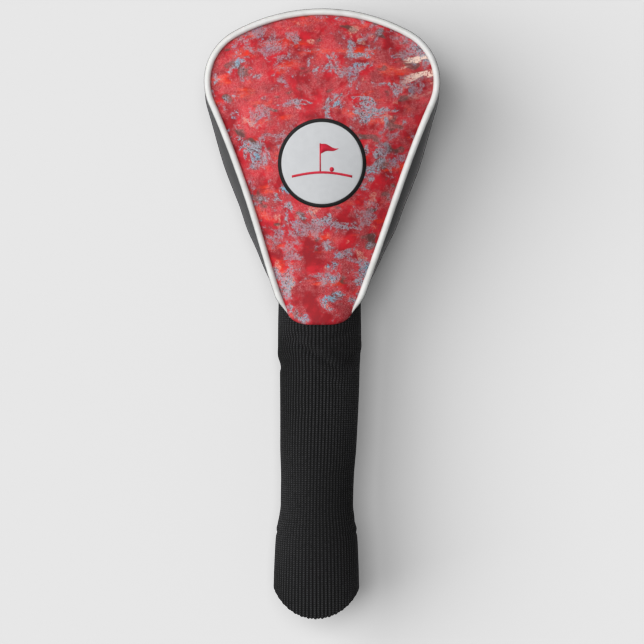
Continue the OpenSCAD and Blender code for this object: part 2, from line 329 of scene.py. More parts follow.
def tube_object(name, outer, inner, uv):
    """A closed tube wall between two grids that wrap round."""
    rows, columns = outer.shape[:2]
    count = rows * columns
    faces = grid_faces(rows, columns, 0, True) + grid_faces(rows, columns, count, True)
    for start in (0, (rows - 1) * columns):
        for j in range(columns):
            a, b = start + j, start + (j + 1) % columns
            faces.append((a, b, count + b, count + a))
    flat_uv = uv.reshape(-1, 2)
    points = np.concatenate([outer.reshape(-1, 3), inner.reshape(-1, 3)])
    obj = make_object(name, points, faces, np.concatenate([flat_uv, flat_uv]))
    for polygon in obj.data.polygons[-2 * columns:]:
        polygon.use_smooth = False
    return obj


def cord_object(name, path, normals, sides, radius, inner=None):
    """A round cord along a path, solid, or hollow with an inner radius. normals has two per point."""
    angles = np.linspace(0, 2 * math.pi, sides, endpoint=False)
    across, up = (normal[:, None] for normal in normals)
    ring = np.cos(angles)[None, :, None] * across + np.sin(angles)[None, :, None] * up
    radius = np.broadcast_to(radius, len(path))
    outer = path[:, None] + ring * radius[:, None, None]
    along = np.concatenate([[0], np.cumsum(np.linalg.norm(np.diff(path, axis=0), axis=1))])
    round_it = angles[None] * radius[:, None]
    uv = np.stack(np.broadcast_arrays(along[:, None], round_it), -1) / CLOTH_UNIT
    if inner is not None:
        return tube_object(name, outer, path[:, None] + ring * (radius * inner)[:, None, None], uv)
    points = np.concatenate([outer.reshape(-1, 3), path[:1], path[-1:]])
    faces = grid_faces(len(path), sides, 0, True)
    last = (len(path) - 1) * sides
    for j in range(sides):
        faces += [(j, (j + 1) % sides, len(points) - 2), (last + j, last + (j + 1) % sides, len(points) - 1)]
    ends = np.concatenate([uv[:1, 0], uv[-1:, 0]])
    return make_object(name, points, faces, np.concatenate([uv.reshape(-1, 2), ends]))


def mirror_x(grid):
    return grid * [-1, 1, 1]


def mirror_y(grid):
    return grid * [1, -1, 1]


# ---- How the padded head fills out ----

def head_form():
    """The head as one closed mesh, to inflate."""
    along = np.linspace(6, SEAM_LENGTH, 46)[:, None]
    across = np.linspace(-1, 1, 28)[None]
    panel = panel_at(along, across, 0)
    strip = gusset_at(np.linspace(0, SEAM_LENGTH, 50)[:, None], np.linspace(-1, 1, 14)[None], 0)
    points, faces = [], []
    for grid in (panel, mirror_y(panel), strip, mirror_x(strip)):
        start = sum(len(p) for p in points)
        points.append(grid.reshape(-1, 3))
        faces += grid_faces(grid.shape[0], grid.shape[1], start)
    form = make_object("head_form", np.concatenate(points), faces)
    edit = bmesh.new()
    edit.from_mesh(form.data)
    bmesh.ops.remove_doubles(edit, verts=edit.verts, dist=1.5 * MM)
    bmesh.ops.holes_fill(edit, edges=[e for e in edit.edges if e.is_boundary], sides=0)
    bmesh.ops.recalc_face_normals(edit, faces=edit.faces)
    edit.to_mesh(form.data)
    edit.free()
    return form


def seam_distance(points):
    """How far each point is from the nearest seam or from the neck, in millimetres."""
    along = np.linspace(0, SEAM_LENGTH, 160)
    seam = np.stack(seam_at(along, 0), -1)
    seams = np.concatenate([seam, mirror_x(seam), mirror_y(seam), mirror_x(mirror_y(seam))])
    away = np.min(np.linalg.norm(points[:, None] - seams[None], axis=2), axis=1)
    return np.minimum(away, np.maximum(0, points[:, 2] - 12))


def inflate_head(voxel=4.5, cap=1.3):
    """Fills the head with cloth pressure between its seams. Gives rest points and how each one moved."""
    form = head_form()
    bpy.context.view_layer.objects.active = form
    remesh = form.modifiers.new("remesh", "REMESH")
    remesh.mode = "VOXEL"
    remesh.voxel_size = voxel * MM
    bpy.ops.object.modifier_apply(modifier="remesh")
    rest = np.array([v.co for v in form.data.vertices]) / MM
    held = np.clip(1 - (seam_distance(rest) - 2) / 3, 0, 1)
    group = form.vertex_groups.new(name="seams")
    for i, weight in enumerate(held):
        if weight > 0:
            group.add([i], float(weight), "REPLACE")
    cloth = form.modifiers.new("cloth", "CLOTH")
    settings = cloth.settings
    settings.quality = 5
    settings.mass = 0.25
    settings.tension_stiffness = settings.compression_stiffness = 12
    settings.shear_stiffness = 6
    settings.bending_stiffness = 0.6
    settings.shrink_min = -0.015
    settings.use_pressure = True
    settings.uniform_pressure_force = 4
    settings.vertex_group_mass = "seams"
    settings.effector_weights.gravity = 0
    cloth.collision_settings.use_collision = False
    scene = bpy.context.scene
    for number in range(1, 21):
        scene.frame_set(number)
    shown = form.evaluated_get(bpy.context.evaluated_depsgraph_get())
    moved = np.array([v.co for v in shown.data.vertices]) / MM - rest
    scene.frame_set(1)
    bpy.data.objects.remove(form)
    size = np.maximum(np.linalg.norm(moved, axis=1)[:, None], 1e-6)
    return rest, moved / size * cap * np.tanh(size / cap)


fill_rest, fill_moved = inflate_head()
FILL = KDTree(len(fill_rest))
for index, place in enumerate(fill_rest):
    FILL.insert(place, index)
FILL.balance()


def filled(grid):
    """The grid, moved as the inflated head moved."""
    if FILL is None:
        return grid
    points = grid.reshape(-1, 3)
    moved = np.empty_like(points)
    for k, point in enumerate(points):
        near = FILL.find_n(point, 28)
        weights = np.array([math.exp(-((d / 9) ** 2)) for _, _, d in near])
        moved[k] = weights @ fill_moved[[i for _, i, _ in near]] / weights.sum()
    return (points + moved).reshape(grid.shape)


# ---- The pieces of the head ----

def clustered(count):
    """Values from -1 to 1, closer together near both ends."""
    return np.sin(np.linspace(-math.pi / 2, math.pi / 2, count))


def seam_dip(away, along, last, pucker):
    """How much deeper the outer cloth lies near its seam and at its end, with puckers from the thread.

    The layers under it have no pucker and don't dip.
    """
    if not pucker:
        return 0
    valley = 0.12 * np.exp(-((away / 1.3) ** 2))
    waves = np.sin(along * 1.05 + 1.7 * np.sin(along * 0.21)) * np.exp(-away / 4.5)
    turned_edge = 0.6 * np.exp(-(((last - along) / 1.2) ** 2))
    return valley + pucker * waves * (1 - np.exp(-((away / 1.2) ** 2))) + turned_edge


def panel_sheet(name, depth, thickness, rows, columns, last, pucker, back=False):
    along = np.linspace(5, last, rows)[:, None]
    across = clustered(columns)[None]
    width = outline_at(along)[0]
    away = (1 - np.abs(across)) * width
    dip = seam_dip(away, along, last, pucker)
    across_inset = across * (1 - 0.1 / width)
    outer = panel_at(along, across_inset, depth + dip)
    inner = panel_at(along, across_inset, depth + dip + thickness)
    uv = np.stack(np.broadcast_arrays(across * width, along), -1) / CLOTH_UNIT
    grids = [filled(g) for g in (outer, inner)]
    if back:
        grids = [mirror_y(g) for g in grids]
    return sheet_object(name, *map(leaned, grids), uv)


def gusset_sheet(name, depth, thickness, rows, columns, last, pucker, left=False):
    along = np.linspace(0, last, rows)[:, None]
    across = clustered(columns)[None]
    depth_here = half_depth(outline_at(along)[1])
    away = np.minimum((1 - np.abs(across)) * depth_here, along + 0.3)
    dip = seam_dip(away, along, last, pucker)
    across_inset = across * (1 - 0.2 / depth_here)
    outer = gusset_at(along, across_inset, depth + dip)
    inner = gusset_at(along, across_inset, depth + dip + thickness)
    uv = np.stack(np.broadcast_arrays(across * depth_here, along), -1) / CLOTH_UNIT
    grids = [filled(g) for g in (outer, inner)]
    if left:
        grids = [mirror_x(g) for g in grids]
    return sheet_object(name, *map(leaned, grids), uv)


def seam_path(depth, samples):
    """The whole front seam, left corner to right corner, with its two cross directions."""
    along = np.linspace(-SEAM_LENGTH, SEAM_LENGTH, samples)
    x, y, z = seam_at(np.abs(along), depth)
    _, _, nx, nz = outline_at(np.abs(along))
    side = np.where(along < 0, -1.0, 1.0)
    path = np.stack([side * x, y, z], -1)
    out = np.stack([side * nx, 0 * nx, nz], -1)
    ahead = directions(path)
    return path, (out, np.cross(ahead, out))


def make_piping():
    """The white sleeve, and the cord in it. Both sink behind the panel at the neck and get thinner there."""
    samples = 360
    along = np.linspace(-SEAM_LENGTH, SEAM_LENGTH, samples)
    tail = ease((np.abs(along) - SEAM_LENGTH + 15) / 15)
    path, normals = seam_path(mix(-PIPING_LIFT, 0.9, tail), samples)
    path = leaned(path)
    ripple = 1 + 0.012 * np.sin(along * 0.9) + 0.01 * np.sin(along * 0.37 + 1)
    radius = PIPING_SWELL * PIPING_RADIUS * ripple * mix(1, 0.16, tail)
    sleeve = cord_object("piping_sleeve_cloth", path, normals, 18, radius, inner=0.78)
    cord = cord_object("piping_filler", path, normals, 8, radius * 0.72)
    return sleeve, cord


def make_stitches(name, depth, back=False):
    """Short thread bridges over a seam, one every few millimetres."""
    count = int(2 * SEAM_LENGTH / 3.2)
    path, (out, depthwise) = seam_path(depth, count)
    ahead = directions(path)
    bulge_out = (out - depthwise) / math.sqrt(2)
    crosswise = (out + depthwise) / math.sqrt(2)
    rings_each, sides = 7, 6
    lengths = np.linspace(-1, 1, rings_each)
    angles = np.linspace(0, 2 * math.pi, sides, endpoint=False)
    points, faces = [], []
    for k in range(1, count - 1):
        line = ahead[k] * 0.75 + crosswise[k] * 0.65
        line /= np.linalg.norm(line)
        rise = 0.35 * (1 - lengths**2)
        arch = path[k] + lengths[:, None] * line * 1.25 + rise[:, None] * bulge_out[k]
        side = np.cross(line, bulge_out[k])
        radius = 0.2 * np.sqrt(np.clip(1.02 - lengths**4, 0.02, 1))
        rings = arch[:, None] + radius[:, None, None] * (
            np.cos(angles)[None, :, None] * side + np.sin(angles)[None, :, None] * bulge_out[k]
        )
        start = len(points) * rings_each * sides
        points.append(rings.reshape(-1, 3))
        faces += grid_faces(rings_each, sides, start, True)
        for end in (start, start + (rings_each - 1) * sides):
            faces.append(tuple(end + j for j in range(sides)))
    points = leaned(np.concatenate(points))
    return make_object(name, mirror_y(points) if back else points, faces)


# ---- The badge ----

def surface_tree(obj):
    edit = bmesh.new()
    edit.from_mesh(obj.data)
    tree = BVHTree.FromBMesh(edit)
    edit.free()
    return tree


def on_panel(tree, x, z, lift):
    """Points of the front panel's surface, seen from the front, at a height above it."""
    shape = np.shape(x)
    points = []
    for px, pz in zip(np.ravel(x), np.ravel(z)):
        hit, normal, _, _ = tree.ray_cast(Vector((px * MM, -0.2, pz * MM)), Vector((0, 1, 0)))
        points.append(np.array(hit) / MM + lift * np.array(normal) * (1 if normal.y < 0 else -1))
    return np.array(points).reshape(*shape, 3)


def make_badge_ring(tree):
    sides = 120
    angles = np.linspace(0, 2 * math.pi, sides, endpoint=False)[None]
    width = BADGE_RING_WIDTH
    profile = np.array([(0, 0.02), (0, 0.3), (0.25, 0.42), (width - 0.25, 0.42), (width, 0.3), (width, 0.02)])
    radii = (BADGE_RADIUS - width + profile[:, 0])[:, None]
    x, z = radii * np.cos(angles), BADGE_HEIGHT + radii * np.sin(angles)
    base = on_panel(tree, x, z, 0.0)
    raised = on_panel(tree, x, z, 1.0)
    points = base + (raised - base) * profile[:, 1][:, None, None]
    faces = grid_faces(len(profile), sides, 0, True)
    last = (len(profile) - 1) * sides
    for j in range(sides):
        faces.append((j, (j + 1) % sides, last + (j + 1) % sides, last + j))
    uv = np.stack(np.broadcast_arrays(x, z), -1) / CLOTH_UNIT
    return make_object("badge_rim", points.reshape(-1, 3), faces, uv.reshape(-1, 2))


def make_badge_disc(tree):
    radius = BADGE_RADIUS - BADGE_RING_WIDTH + 0.1
    span = np.linspace(-1, 1, 41)
    u, v = np.meshgrid(span, span)
    x = radius * u * np.sqrt(1 - v * v / 2)
    z = BADGE_HEIGHT + radius * v * np.sqrt(1 - u * u / 2)
    uv = np.stack([x, z], -1) / CLOTH_UNIT
    return sheet_object("badge_face", on_panel(tree, x, z, 0.3), on_panel(tree, x, z, 0.06), uv)


def make_badge_motif(tree):
    """A plain golf motif: a flag on its pin, over a low rise of ground, with a ball beside it."""
    foot = BADGE_HEIGHT - 7
    ground_reach = 17
    pin_left, pin_right, pin_top = -1.4, -0.6, foot + 18
    flag_height, flag_end = foot + 15, 9.5
    ball_x, ball_z, ball_radius = 5.5, foot + 3.5, 1.3
    ball_left, ball_right = ball_x - ball_radius, ball_x + ball_radius

    def ground(x):
        return foot + 2.2 * math.cos(x / ground_reach * math.pi / 2)

    def flag(x):
        return flag_height + 0.5 * math.sin(x * 0.7)

    def taper(x):
        return 1 - (x - pin_right) / (flag_end - pin_right)

    def flag_top(x):
        return flag(x) + 2.9 * taper(x) + 0.05

    def ball(x):
        return math.sqrt(max(0.001, ball_radius**2 - (x - ball_x) ** 2))

    # Each shape: its left end, its right end, its columns, and its lower and upper edge.
    shapes = [
        (-ground_reach, ground_reach, 28, lambda x: ground(x) - 1.1, lambda x: ground(x) + 0.25),
        (pin_left, pin_right, 2, lambda x: foot + 2.3, lambda x: pin_top),
        (pin_right, flag_end, 12, lambda x: flag(x) - 2.6 * taper(x), flag_top),
        (ball_left, ball_right, 10, lambda x: ball_z - ball(x), lambda x: ball_z + ball(x)),
    ]
    points, faces, uvs = [], [], []
    for left, right, steps, low, high in shapes:
        xs = np.linspace(left, right, steps)
        x = np.stack([xs, xs])
        z = np.array([[low(v) for v in xs], [high(v) for v in xs]])
        start = sum(len(p) for p in points)
        for lift in (0.34, 0.46):
            points.append(on_panel(tree, x, z, lift).reshape(-1, 3))
            uvs.append(np.stack([x, z], -1).reshape(-1, 2) / CLOTH_UNIT)
        count = 2 * steps
        faces += grid_faces(2, steps, start) + grid_faces(2, steps, start + count)
        rim = list(range(steps)) + list(range(2 * steps - 1, steps - 1, -1))
        for k, a in enumerate(rim):
            b = rim[(k + 1) % count]
            faces.append((start + a, start + b, start + count + b, start + count + a))
    return make_object("badge_motif", np.concatenate(points), faces, np.concatenate(uvs))


# ---- The knitted sock ----

# Creases where the knit folds at the bend: degrees from the front toward +X, height, half length in
# degrees, rise in millimetres per degree, depth, and half width in millimetres.
CREASES = [
    (-2, -27.5, 26, -0.22, 2.8, 2.1),
    (62, -30.0, 24, 0.12, 1.5, 2.2),
    (-70, -31.0, 26, 0.10, 1.7, 2.4),
    (150, -28.0, 34, -0.10, 1.1, 1.7),
    (-140, -33.0, 26, 0.16, 0.8, 1.8),
    (18, -43.0, 22, -0.14, 0.9, 2.8),
    (-38, -17.0, 26, 0.10, 1.1, 2.6),
    (34, -15.0, 24, 0.16, 0.9, 2.4),
    (-15, -58.0, 26, 0.08, 0.5, 3.0),
    (30, -96.0, 30, 0.05, 0.4, 3.0),
    (70, -124.0, 40, 0.03, 0.35, 2.0),
    (-40, -123.0, 46, -0.02, 0.35, 2.0),
]


def sock_radius(angle, z):
    """The smooth radius of the knitted tube, before its ribs."""
    heights = np.array([h for h, _ in SOCK_SHAPE], float)
    radii = np.array([r for _, r in SOCK_SHAPE], float)
    spread = sum(np.interp(-(z + shift), -heights, radii) for shift in (-3, -1.5, 0, 1.5, 3)) / 5
    degrees = np.degrees(angle)
    for middle, height, reach, slope, depth, width in CREASES:
        off = (degrees - middle + 180) % 360 - 180
        line = z - height - slope * off
        fade = np.exp(-((off / reach) ** 4))
        spread = spread - depth * fade * np.exp(-((line / width) ** 2))
        spread = spread + 0.4 * depth * fade * np.exp(-(((line - 2.4 * width) / (1.5 * width)) ** 2))
    # The seam that holds the hem: a groove, with a small swell above it.
    spread = spread - 0.45 * np.exp(-(((z - HEM_SEAM) / 0.9) ** 2))
    spread = spread + 0.25 * np.exp(-(((z - HEM_SEAM - 2.5) / 1.5) ** 2))
    sway = 0.25 * np.sin(2 * angle + z * 0.05) + 0.18 * np.sin(3 * angle - z * 0.031 + 1)
    return spread + sway * ramp(-z, 15, 45)


def rib_height(angle, z):
    """The ribs' own shape: round ridges with narrow valleys, which drift a little as they run."""
    drift = 0.012 * np.sin(z * 0.045 + 0.6)
    drift = drift + 0.02 * np.exp(-(((z + 27) / 9) ** 2)) * np.sin(angle * 2 + 0.5)
    phase = (angle + drift) * RIBS / 2
    return RIB_HEIGHT * (np.abs(np.sin(phase)) ** 0.7 - 0.6)


def knit_point(angle, radius, z):
    return np.stack(
        np.broadcast_arrays(radius * np.sin(angle) + lean(z), -radius * np.cos(angle), z), -1
    )


ROUND = np.linspace(-math.pi, math.pi, RIBS * RIB_SAMPLES, endpoint=False)[None]
RIB_NUMBER = (ROUND + math.pi) * RIBS / (2 * math.pi)


def knit_tube(name, top, bottom, rows):
    z = np.linspace(top, bottom, rows)[:, None]
    smooth = sock_radius(ROUND, z)
    ribs = rib_height(ROUND, z)
    outer = knit_point(ROUND, smooth + ribs, z)
    inner = knit_point(ROUND, smooth - KNIT + 0.4 * ribs, z)
    uv = np.stack(np.broadcast_arrays(RIB_NUMBER, -z / CLOTH_UNIT), -1)
    return tube_object(name, outer, inner, uv)


def mouth_edge(angle):
    """The height of the mouth's edge: low at the front and back, high at the sides."""
    x = SOCK_SHAPE[-1][1] * np.sin(angle)
    return SOCK_BOTTOM - MOUTH_DROP + MOUTH_CURVE - np.sqrt(MOUTH_CURVE**2 - x**2)


def knit_hem_sheet(name, down_rows=40, fold_rows=9, up_rows=24):
    """The knit from the hem line down, round its folded edge and up inside."""
    scallop = 0.35 * np.abs(np.sin(ROUND * RIBS / 4 + 0.4)) + 0.3 * np.sin(ROUND * 3 + 1)
    edge = mouth_edge(ROUND) + scallop
    outside = sock_radius(ROUND, edge)
    fold = (outside - HEM_RADIUS) / 2
    turn_z = edge + fold
    level, flat = np.ones_like(edge), np.zeros_like(edge)
    # Each row: its height, its radius, which way its outer side faces, and its length from the hem line.
    rows = []
    for t in np.linspace(0, 1, down_rows, endpoint=False):
        z = mix(HEM_LINE, turn_z, t)
        rows.append((z, sock_radius(ROUND, z), level, flat, HEM_LINE - z))
    for t in np.linspace(0, 1, fold_rows):
        turn = math.pi * t
        z = turn_z - fold * math.sin(turn)
        r = HEM_RADIUS + fold + fold * math.cos(turn)
        rows.append((z, r, level * math.cos(turn), -level * math.sin(turn), HEM_LINE - turn_z + fold * turn))
    for t in np.linspace(0, 1, up_rows + 1)[1:]:
        z = mix(turn_z, HEM_TOP, t)
        rows.append((z, level * HEM_RADIUS, -level, flat, HEM_LINE - turn_z + fold * math.pi + z - turn_z))
    z, r, nr, nz, travel = (np.concatenate(column) for column in zip(*rows))
    ribs = rib_height(ROUND, np.maximum(z, HEM_LINE - 60)) * np.where(nr < -0.5, 0.5, 1)
    outer = knit_point(ROUND, r + nr * ribs, z + nz * ribs)
    inner = knit_point(ROUND, r - nr * (KNIT - 0.4 * ribs), z - nz * (KNIT - 0.4 * ribs))
    uv = np.stack(np.broadcast_arrays(RIB_NUMBER, (travel - HEM_LINE) / CLOTH_UNIT), -1)
    return tube_object(name, outer, inner, uv)


def knitted_band(name, radius, thickness, top, bottom):
    """An elastic band, gathered a little, which leans with the cover."""
    z = np.linspace(top, bottom, 12)[:, None]
    angles = np.linspace(-math.pi, math.pi, 140, endpoint=False)[None]
    gather = 0.12 * np.sin(angles * 35)
    outer = knit_point(angles, radius + gather, z)
    inner = knit_point(angles, radius - thickness + gather, z)
    uv = np.stack(np.broadcast_arrays(angles * radius, z), -1) / CLOTH_UNIT
    return tube_object(name, outer, inner, uv)


def round_of_stitches(name, radius, z, count):
    """Zigzag stitches all the way round a tube of that radius."""
    turn = np.linspace(0, 2 * math.pi, count * 8 + 1)
    path = knit_point(turn, radius - 0.25 * np.sin(turn * count), z + 1.1 * np.cos(turn * count))
    ahead = directions(path)
    out = np.stack([np.sin(turn), -np.cos(turn), 0 * turn], -1)
    return cord_object(name, path, (out, np.cross(ahead, out)), 6, 0.22)


# ---- Materials ----

class Look:
    """A material's node tree, with short calls for the nodes used here."""

    def __init__(self, name, roughness=0.7, specular=0.4, sheen=0.0, sheen_roughness=0.5):
        self.material = bpy.data.materials.new(name)
        self.material.use_nodes = True
        self.nodes = self.material.node_tree.nodes
        self.links = self.material.node_tree.links
        self.shader = self.nodes["Principled BSDF"]
        self.shader.inputs["Roughness"].default_value = roughness
        self.shader.inputs["Specular IOR Level"].default_value = specular
        self.shader.inputs["Sheen Weight"].default_value = sheen
        self.shader.inputs["Sheen Roughness"].default_value = sheen_roughness

    def put(self, socket, value):
        if isinstance(value, bpy.types.NodeSocket):
            self.links.new(value, socket)
        elif isinstance(value, (tuple, list)) and len(value) == 3 and socket.type == "RGBA":
            socket.default_value = (*value, 1)
        else:
            socket.default_value = value

    def place(self, cloth=False, turn=0.0, stretch=(1, 1, 1)):
        """Coordinates in millimetres, of the object or of its cloth."""
        if cloth:
            source = self.nodes.new("ShaderNodeUVMap")
            source.uv_map = "cloth"
            out, size = source.outputs["UV"], CLOTH_UNIT
        else:
            source = self.nodes.new("ShaderNodeTexCoord")
            out, size = source.outputs["Object"], 1 / MM
        mapping = self.nodes.new("ShaderNodeMapping")
        mapping.inputs["Scale"].default_value = [size * s for s in stretch]
        mapping.inputs["Rotation"].default_value = (0, 0, turn)
        self.links.new(out, mapping.inputs["Vector"])
        return mapping.outputs["Vector"]

    def noise(self, vector, scale, detail=2.0, roughness=0.5, distortion=0.0):
        node = self.nodes.new("ShaderNodeTexNoise")
        self.put(node.inputs["Vector"], vector)
        node.inputs["Scale"].default_value = scale
        node.inputs["Detail"].default_value = detail
        node.inputs["Roughness"].default_value = roughness
        node.inputs["Distortion"].default_value = distortion
        return node.outputs["Fac"]

    def math(self, operation, a, b=0.0):
        node = self.nodes.new("ShaderNodeMath")
        node.operation = operation
        self.put(node.inputs[0], a)
        self.put(node.inputs[1], b)
        return node.outputs[0]

    def part(self, vector, axis):
        node = self.nodes.new("ShaderNodeSeparateXYZ")
        self.links.new(vector, node.inputs[0])
        return node.outputs[axis]

    def range(self, value, low, high, to_low=0.0, to_high=1.0):
        node = self.nodes.new("ShaderNodeMapRange")
        node.interpolation_type = "SMOOTHSTEP"
        self.put(node.inputs["Value"], value)
        ends = {"From Min": low, "From Max": high, "To Min": to_low, "To Max": to_high}
        for name, number in ends.items():
            node.inputs[name].default_value = number
        return node.outputs["Result"]

    def blend(self, fac, a, b):
        node = self.nodes.new("ShaderNodeMix")
        node.data_type = "RGBA"
        self.put(node.inputs["Factor"], fac)
        self.put(node.inputs[6], a)
        self.put(node.inputs[7], b)
        return node.outputs[2]

    def lines(self, value, middle, width):
        """1 where value is within width of middle, falling to 0 at twice that."""
        away = self.math("ABSOLUTE", self.math("SUBTRACT", value, middle))
        return self.range(away, width, 2 * width, 1.0, 0.0)

    def wave(self, value, period):
        """A ripple from 0 to 1 with that period."""
        turn = self.math("MULTIPLY", value, 2 * math.pi / period)
        return self.math("MULTIPLY", self.math("ADD", self.math("SINE", turn), 1.0), 0.5)

    def finish(self, color, height=None, strength=0.3, distance=0.0003):
        self.put(self.shader.inputs["Base Color"], color)
        if height is not None:
            bump = self.nodes.new("ShaderNodeBump")
            bump.inputs["Strength"].default_value = strength
            bump.inputs["Distance"].default_value = distance
            self.put(bump.inputs["Height"], height)
            self.links.new(bump.outputs["Normal"], self.shader.inputs["Normal"])
        return self.material


def weave_height(look, period, cloth=False):
    """A plain weave: threads over and under each other."""
    place = look.place(cloth=cloth)
    x, y = look.part(place, 0), look.part(place, 1)
    return look.math("MULTIPLY", look.wave(x, period), look.wave(y, period))


def printed_cloth():
    """Crimson marbling: glows, dark patches, grey-blue clusters of fine squiggles, and pale creases."""
    look = Look("printed_cloth", roughness=0.65, specular=0.16)
    place = look.place()
    tone = look.noise(place, 0.07, 5, 0.65, 0.5)
    color = look.blend(look.range(tone, 0.38, 0.62), (0.31, 0.012, 0.018), (0.58, 0.018, 0.03))
    glow = look.noise(look.place(stretch=(0.7, 1, 1.5)), 0.07, 3, 0.6, 0.3)
    streak = look.noise(look.place(stretch=(0.22, 1, 1.6)), 0.5, 2, 0.6, 0.5)
    warm = look.blend(look.range(streak, 0.5, 0.75), (0.72, 0.035, 0.014), (0.82, 0.15, 0.05))
    color = look.blend(look.range(glow, 0.54, 0.68, 0, 0.85), color, warm)
    dark = look.noise(look.place(stretch=(0.75, 1, 1.2)), 0.1, 2, 0.5)
    color = look.blend(look.range(dark, 0.6, 0.68, 0, 0.88), color, (0.075, 0.06, 0.052))
    color = line_work(look, color, 0.75, (0.64, 0.2, 0.21), 0.42, 0.54, 0.6)
    color = line_work(look, color, 0.9, (0.16, 0.015, 0.025), 0.42, 0.54, 0.5)
    color = line_work(look, color, 0.6, (0.78, 0.52, 0.4), 0.63, 0.68, 0.55)
    clusters = look.noise(look.place(stretch=(1, 1, 1.15)), 0.075, 6, 0.72, 0.4)
    inside = look.range(clusters, 0.51, 0.58)
    often = look.range(look.noise(place, 0.03, 1), 0.4, 0.58, 0.55, 1)
    curls = look.noise(place, 0.85, 1.5, 0.55, 1.3)
    ink = look.math("MULTIPLY", inside, often)
    color = look.blend(look.math("MULTIPLY", ink, look.lines(curls, 0.6, 0.05)), color, (0.1, 0.05, 0.06))
    hue = look.blend(look.range(look.noise(place, 0.11, 2), 0.54, 0.7), (0.35, 0.37, 0.43), (0.2, 0.42, 0.55))
    core = look.range(look.noise(place, 0.35, 3, 0.7), 0.64, 0.7, 0, 0.7)
    marks = look.math("MAXIMUM", look.lines(curls, 0.49, 0.05), core)
    color = look.blend(look.math("MULTIPLY", ink, marks), color, hue)
    color = look.blend(side_streaks(look), color, (0.85, 0.62, 0.52))
    height = weave_height(look, 0.7)
    return look.finish(color, height, 0.12, 0.0002)


def line_work(look, color, scale, hue, low, high, strength):
    """Fine curled lines over part of the print."""
    where = look.range(look.noise(look.place(), scale * 0.12, 3, 0.6), low, high)
    curls = look.noise(look.place(), scale, 1.5, 0.6, 1.4)
    drawn = look.math("MAXIMUM", look.lines(curls, 0.42, 0.025), look.lines(curls, 0.58, 0.022))
    return look.blend(look.math("MULTIPLY", look.math("MULTIPLY", drawn, where), strength), color, hue)


def side_streaks(look):
    """Pale creases in the print, which rise towards a point beyond the right shoulder."""
    point_x, point_z = 115.0, 152.0
    place = look.place()
    x = look.math("SUBTRACT", look.part(place, 0), point_x)
    z = look.math("SUBTRACT", look.part(place, 2), point_z)
    turn = look.math("ARCTAN2", z, x)
    reach = look.math("SQRT", look.math("ADD", look.math("MULTIPLY", x, x), look.math("MULTIPLY", z, z)))
    join = look.nodes.new("ShaderNodeCombineXYZ")
    slope = look.math("ABSOLUTE", turn)
    look.links.new(look.math("MULTIPLY", slope, 15.0), join.inputs[0])
    look.links.new(look.math("MULTIPLY", reach, 0.05), join.inputs[1])
    ray = look.range(look.noise(join.outputs[0], 1.0, 2, 0.6, 0.3), 0.52, 0.59)
    flecks = look.range(look.noise(place, 0.7, 2, 0.6, 1.0), 0.38, 0.52)
    near = look.math("MULTIPLY", look.range(reach, 44, 50), look.range(reach, 62, 78, 1, 0))
    fan = look.math("MULTIPLY", look.range(slope, 2.6, 2.75), look.range(slope, 2.98, 3.06, 1, 0))
    return look.math("MULTIPLY", look.math("MULTIPLY", ray, flecks), look.math("MULTIPLY", near, fan))


def woven_nylon():
    """Black twill: fine slanting ridges, their tops painted much lighter than the black yarn: painted
    highlight for the light they catch from the side.
    """
    look = Look("woven_nylon", roughness=0.5, specular=0.14, sheen=0.06, sheen_roughness=0.35)
    slant = look.place(cloth=True, turn=math.radians(28))
    ridge = look.wave(look.part(slant, 1), 1.15)
    thread = look.wave(look.part(look.place(cloth=True, turn=math.radians(-50)), 0), 0.6)
    height = look.math("ADD", look.math("MULTIPLY", ridge, 0.8), look.math("MULTIPLY", thread, 0.25))
    wear = look.noise(look.place(), 0.08, 3)
    # Painted highlight: the ridge tops are painted lighter than the black nylon, standing in for the sheen of
    # side light.
    color = look.blend(ridge, (0.012, 0.012, 0.013), (0.13, 0.13, 0.134))
    color = look.blend(look.range(wear, 0.4, 0.7, 0, 0.3), color, (0.05, 0.05, 0.052))
    return look.finish(color, height, 0.5, 0.0003)


def black_cloth():
    look = Look("black_cloth", roughness=0.68, specular=0.35, sheen=0.25)
    height = weave_height(look, 0.8)
    wear = look.noise(look.place(), 0.06, 4)
    color = look.blend(look.range(wear, 0.35, 0.7), (0.016, 0.016, 0.018), (0.02, 0.02, 0.022))
    return look.finish(color, height, 0.3, 0.0002)


def white_piping():
    look = Look("white_piping", roughness=0.55, specular=0.35)
    soil = look.noise(look.place(), 0.12, 4)
    color = look.blend(look.range(soil, 0.35, 0.75), (0.69, 0.69, 0.68), (0.6, 0.6, 0.585))
    place = look.place(cloth=True)
    wraps = look.math("ADD", look.part(place, 0), look.math("MULTIPLY", look.part(place, 1), 0.6))
    uneven = look.math("MULTIPLY", look.noise(look.place(), 0.5, 2), 1.5)
    height = look.math("ADD", look.wave(wraps, 0.7), uneven)
    return look.finish(color, height, 0.18, 0.0002)


def rib_knit():
    """Black yarn: chevron stitches down each rib, with loose fibres. Rib tops and stitch tops are painted
    light and the valleys between ribs dark: painted highlight and painted shade.
    """
    look = Look("black_knit", roughness=0.85, specular=0.2, sheen=0.035, sheen_roughness=0.5)
    place = look.place(cloth=True)
    rib = look.math("DIVIDE", look.part(place, 0), CLOTH_UNIT)
    along = look.part(place, 1)
    middle = look.math("ABSOLUTE", look.math("SUBTRACT", look.math("FRACT", rib), 0.5))
    chevron = look.math("ADD", along, look.math("MULTIPLY", middle, 1.6))
    stitch = look.wave(chevron, 1.25)
    fuzz = look.noise(look.place(), 2.2, 2)
    height = look.math("ADD", stitch, look.math("MULTIPLY", fuzz, 0.5))
    # Painted highlight on the rib tops and stitch tops, and painted shade in the valleys between ribs.
    painted_crest_light = look.range(middle, 0.1, 0.4, 1, 0.04)
    shade = look.math("MULTIPLY", look.math("MULTIPLY", stitch, painted_crest_light), look.range(fuzz, 0.25, 0.6))
    color = look.blend(shade, (0.0015, 0.0015, 0.0017), (0.05, 0.05, 0.053))
    return look.finish(color, height, 0.7, 0.0004)


